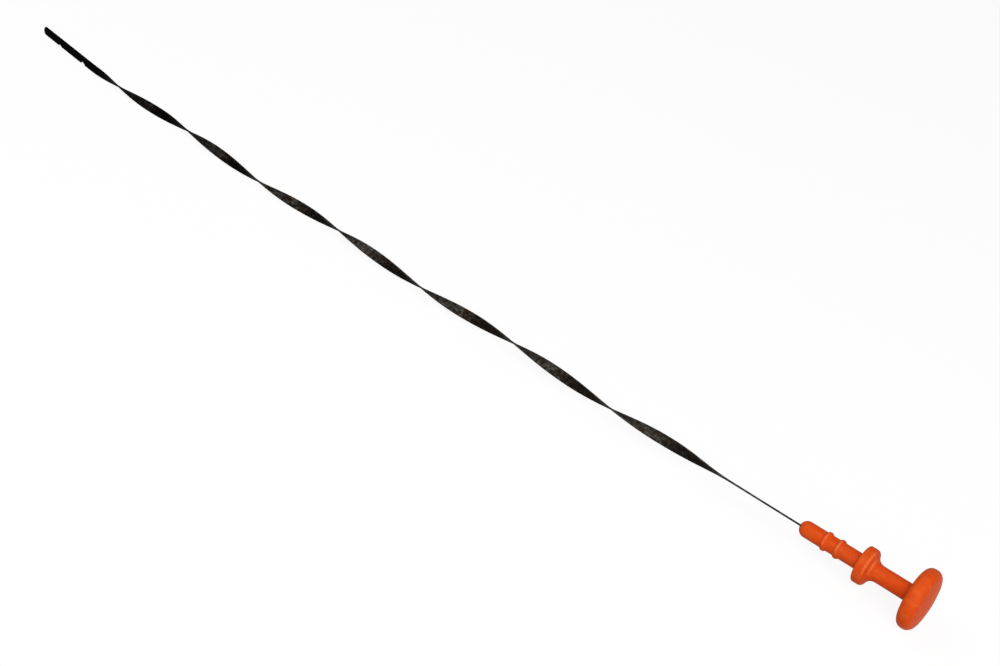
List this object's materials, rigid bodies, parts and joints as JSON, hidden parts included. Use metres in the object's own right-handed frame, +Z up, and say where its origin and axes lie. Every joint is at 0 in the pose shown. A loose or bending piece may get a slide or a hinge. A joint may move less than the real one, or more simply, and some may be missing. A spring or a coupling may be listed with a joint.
{
  "type": "engine oil dipstick",
  "caption": "Flat twisted steel blade with notched level marks near its tip, moulded into an orange plastic pull handle with a ribbed stopper, a seat flange and a round head.",
  "frame": {"origin": "middle of the part's base, on the ground that it lies on", "axes": "+X along the blade from its tip to the handle, +Y to the side, +Z up"},
  "size_m": [0.6525, 0.03, 0.03],
  "materials": {
    "blade_steel": "black oxide, satin",
    "handle_plastic": "moulded, semi-gloss"
  },
  "bodies": {
    "root": {"blade": "blade_steel", "handle": "handle_plastic"}
  },
  "joints": []
}
